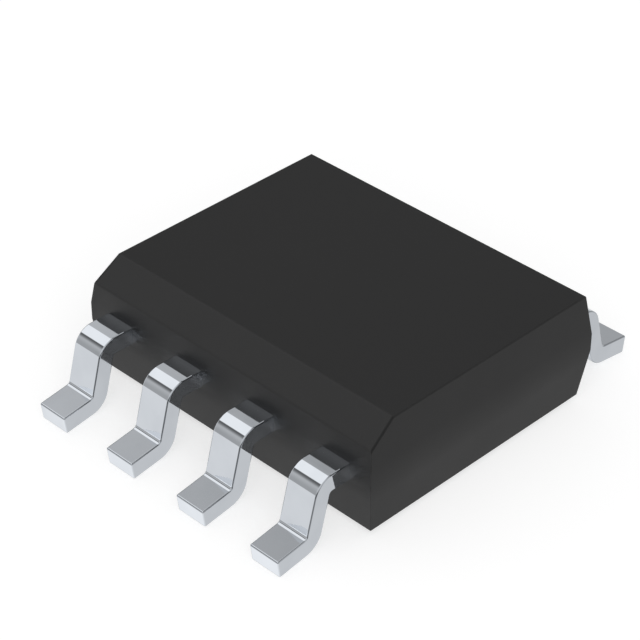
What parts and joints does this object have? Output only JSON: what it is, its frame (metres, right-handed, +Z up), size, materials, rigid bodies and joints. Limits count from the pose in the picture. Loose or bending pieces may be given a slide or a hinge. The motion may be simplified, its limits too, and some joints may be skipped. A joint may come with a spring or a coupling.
{
  "type": "led driver chip",
  "caption": "Surface-mount LED driver chip: a dark moulded body with one bevelled long edge and bright gull-wing leads along both long sides.",
  "frame": {"origin": "on the seating plane, under the middle of the moulded body", "axes": "+Z up from the board; X runs across the package from row to row, with the bevelled edge and leads 1 to 4 on the -X side; Y runs along the rows, with lead 1 at +Y"},
  "size_m": [0.0064, 0.005, 0.0016],
  "materials": {
    "mould_compound": "matte charcoal epoxy moulding compound, fine grain",
    "tinned_lead": "bright tin plating, nearly a mirror",
    "copper_strip": "rolled copper alloy, satin",
    "die_adhesive": "silver-filled epoxy, cured",
    "silicon": "polished silicon",
    "bond_wire": "drawn wire, bright"
  },
  "bodies": {
    "root": {"mould_body": "mould_compound", "lead_1": "tinned_lead", "lead_2": "tinned_lead", "lead_3": "tinned_lead", "lead_4": "tinned_lead", "lead_5": "tinned_lead", "lead_6": "tinned_lead", "lead_7": "tinned_lead", "lead_8": "tinned_lead", "die_paddle": "copper_strip", "die_attach": "die_adhesive", "silicon_die": "silicon", "bond_wire_1": "bond_wire", "bond_wire_2": "bond_wire", "bond_wire_3": "bond_wire", "bond_wire_4": "bond_wire", "bond_wire_5": "bond_wire", "bond_wire_6": "bond_wire", "bond_wire_7": "bond_wire", "bond_wire_8": "bond_wire"}
  },
  "joints": []
}
